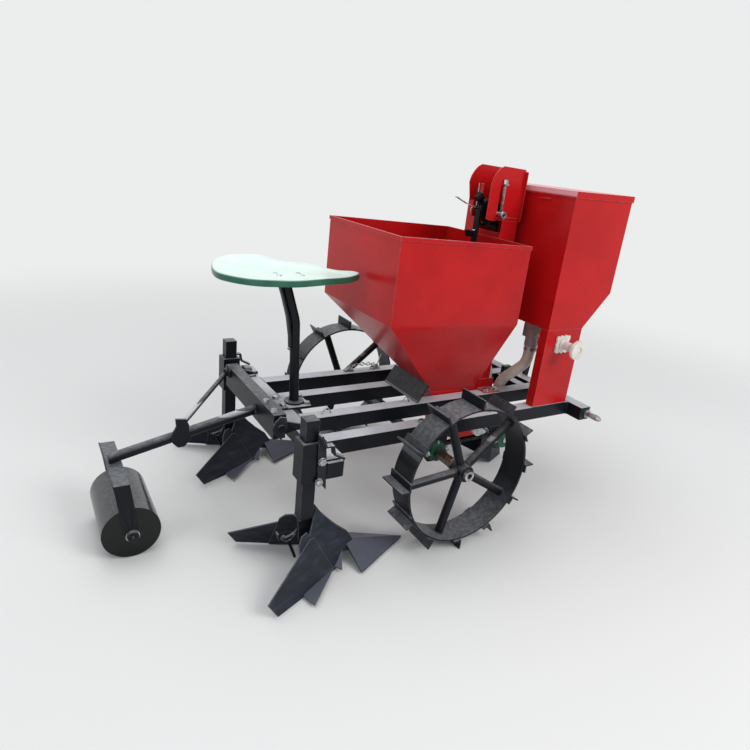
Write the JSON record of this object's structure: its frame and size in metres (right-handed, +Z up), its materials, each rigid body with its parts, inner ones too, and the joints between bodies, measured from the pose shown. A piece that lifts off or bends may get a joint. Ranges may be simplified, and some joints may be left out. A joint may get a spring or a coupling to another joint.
{
  "type": "single-row potato planter",
  "caption": "Mounted potato planter with seat, seed hopper, cup elevator, fertiliser box, lugged drive wheels, furrow opener, ridgers and a rear press roller.",
  "frame": {"origin": "on the floor, below the middle of the whole outline", "axes": "+X forward to the tractor, +Y to the machine's left, +Z up"},
  "size_m": [1.8, 1.07, 1.183],
  "materials": {
    "black_paint": "semi-gloss black machine enamel",
    "black_gloss": "gloss black enamel on the roller",
    "plough_steel": "scuffed black enamel on plough steel",
    "red_paint": "semi-gloss red machine enamel on sheet steel",
    "green_seat": "mint green gloss paint on the pressed seat pan",
    "bright_steel": "zinc plated or turned steel",
    "chain_steel": "dark oiled chain and sprocket steel",
    "black_rubber": "black moulded belt and cups",
    "white_plastic": "white moulded nylon",
    "grey_plastic": "grey moulded plastic",
    "cream_hose": "cream flexible fertiliser hose",
    "green_cast": "dark green enamel on cast bearing housings"
  },
  "bodies": {
    "planter": {"axle_bearings": "green_cast", "bearing_hangers": "black_paint", "boot_shaft": "bright_steel", "box_leg_left": "red_paint", "box_leg_right": "red_paint", "cup_chain": "black_rubber", "drive_chain": "chain_steel", "duct_feet": "red_paint", "elevator_boot": "red_paint", "elevator_duct": "red_paint", "fertiliser_box": "red_paint", "fertiliser_chute": "black_paint", "fertiliser_hoses": "cream_hose", "fertiliser_outlets": "grey_plastic", "front_cross_beam": "black_paint", "head_plate_left": "red_paint", "head_plate_right": "red_paint", "head_shaft": "bright_steel", "hitch_pin_left": "bright_steel", "hitch_pin_right": "bright_steel", "hopper_support": "black_paint", "inner_beam_left": "black_paint", "inner_beam_right": "black_paint", "lid_hinges": "black_paint", "mast_plates": "black_paint", "metering_units": "white_plastic", "mouldboard_left": "plough_steel", "mouldboard_right": "plough_steel", "opener_shank": "black_paint", "opener_shoe": "plough_steel", "outer_beam_left": "black_paint", "outer_beam_right": "black_paint", "pivot_lugs": "black_paint", "potato_hopper": "red_paint", "rear_cross_beam": "black_paint", "ridger_post_left": "black_paint", "ridger_post_right": "black_paint", "ridger_share_left": "plough_steel", "ridger_share_right": "plough_steel", "ridger_sleeve_left": "black_paint", "ridger_sleeve_right": "black_paint", "seat_pan": "green_seat", "seat_post": "black_paint", "tension_rods": "bright_steel"},
    "wheels": {"wheel_left": "black_paint", "wheel_right": "black_paint", "wheel_axle": "black_paint", "axle_sprocket": "chain_steel"},
    "roller_arm": {"roller_bar": "black_paint", "roller_arm": "black_paint", "arm_plate": "black_paint", "roller_brace": "black_paint", "roller_fork": "black_paint", "roller_pin": "bright_steel"},
    "roller": {"press_roller": "black_gloss"},
    "lid": {"fertiliser_lid": "red_paint"}
  },
  "joints": [
    {"name": "wheels_spin", "type": "hinge", "parent": "planter", "child": "wheels", "pos_m": [0.124, 0, 0.263], "axis": [0, 1, 0], "continuous": true},
    {"name": "roller_arm_swing", "type": "hinge", "parent": "planter", "child": "roller_arm", "pos_m": [-0.394, 0, 0.375], "axis": [0, 1, 0], "range_deg": [-12, 25]},
    {"name": "roller_spin", "type": "hinge", "parent": "roller_arm", "child": "roller", "pos_m": [-0.818, 0, 0.083], "axis": [0, 1, 0], "continuous": true},
    {"name": "lid_hinge", "type": "hinge", "parent": "planter", "child": "lid", "pos_m": [0.859, 0, 1.106], "axis": [0, 1, 0], "range_deg": [0, 100]}
  ]
}
